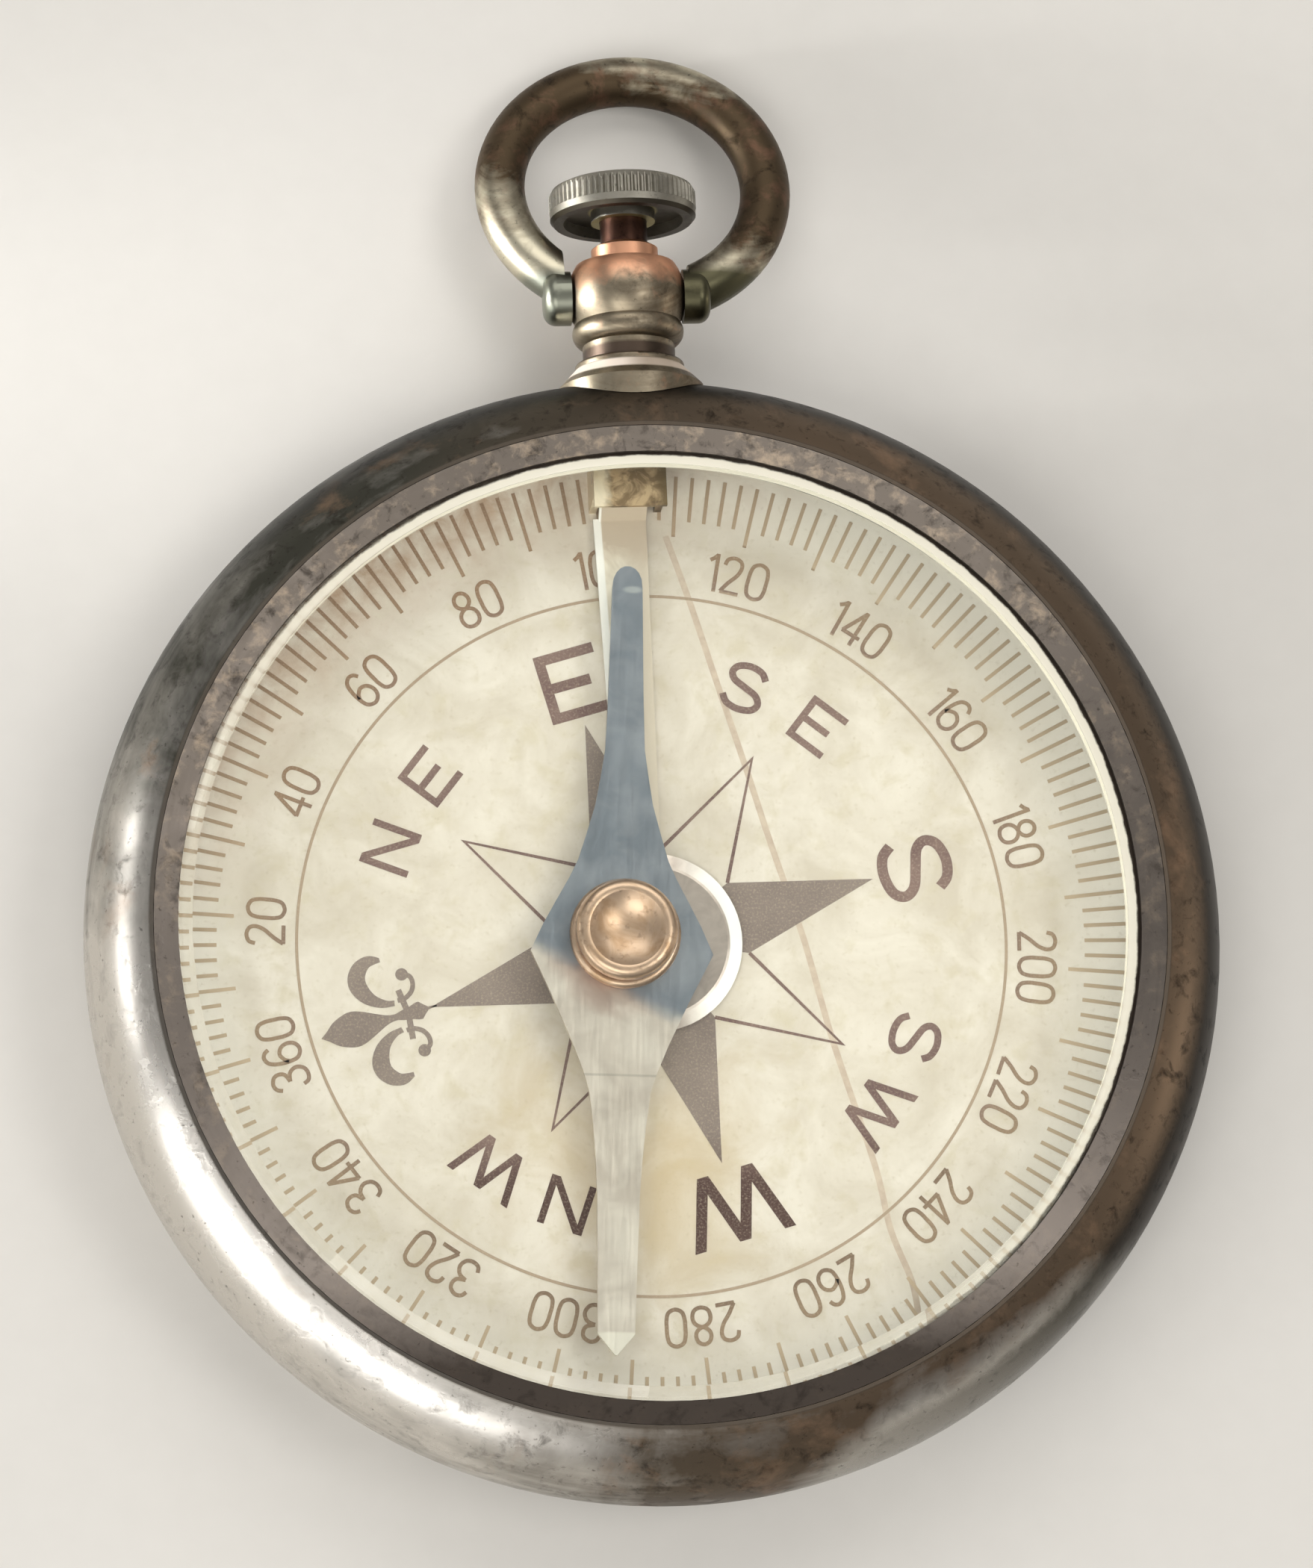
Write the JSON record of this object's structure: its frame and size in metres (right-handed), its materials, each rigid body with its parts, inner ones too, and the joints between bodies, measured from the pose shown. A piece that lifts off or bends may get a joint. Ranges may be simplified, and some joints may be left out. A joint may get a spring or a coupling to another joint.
{
  "type": "compass pendant",
  "caption": "Round metal pocket compass with a glazed dial, a pivoted needle, a push crown that works a needle lifter, and a bow for a chain.",
  "frame": {"origin": "middle of the flat back face of the case", "axes": "+Z out of the dial, towards the viewer of the compass; +Y from the middle of the case towards the bow; +X to the right as the dial is read with the bow at the top"},
  "size_m": [0.045, 0.0599, 0.0085],
  "materials": {
    "case_nickel": "worn nickel plate over brass, half polished",
    "bezel_nickel": "worn nickel plate over brass, half polished",
    "crystal_glass": "clear polished glass with a bevelled edge",
    "dial_print": "ivory printed card, matte and stained",
    "pin_steel": "turned steel",
    "needle_steel": "polished steel, north half blued",
    "cap_brass": "polished brass",
    "lifter_nickel": "satin nickelled sheet",
    "bracket_brass": "tarnished brass",
    "hinge_pin_steel": "bright steel wire",
    "pendant_brass": "brass with worn nickel plate, polished",
    "stem_brass": "tarnished brass",
    "crown_nickel": "worn nickel plate, ribbed",
    "bow_nickel": "worn nickel plate over brass, half polished"
  },
  "bodies": {
    "case": {"case_body": "case_nickel", "bezel": "bezel_nickel", "crystal": "crystal_glass", "dial": "dial_print", "pivot_pin": "pin_steel", "lifter_bracket": "bracket_brass", "lifter_hinge_pin": "hinge_pin_steel", "pendant": "pendant_brass"},
    "needle": {"needle": "needle_steel", "needle_cap": "cap_brass"},
    "lifter": {"lifter": "lifter_nickel"},
    "crown": {"stem": "stem_brass", "crown": "crown_nickel"},
    "bow": {"bow": "bow_nickel"}
  },
  "joints": [
    {"name": "needle_turn", "type": "hinge", "parent": "case", "child": "needle", "pos_m": [-0.0013, -0.00015, 0.0055], "axis": [0, 0, 1], "continuous": true},
    {"name": "crown_push", "type": "slide", "parent": "case", "child": "crown", "axis": [0, -1, 0], "range_m": [0, 0.0004]},
    {"name": "lifter_hinge", "type": "hinge", "parent": "case", "child": "lifter", "pos_m": [-0.00055, 0.0183, 0.00557], "axis": [-1, 0, 0], "range_deg": [0, 2.5]},
    {"name": "bow_hinge", "type": "hinge", "parent": "case", "child": "bow", "pos_m": [0, 0.0262, 0.0044], "axis": [1, 0, 0], "range_deg": [-119, 155]}
  ],
  "couplings": [
    {"joint": "lifter_hinge", "follows": "crown_push", "rad_per_m": 109}
  ]
}
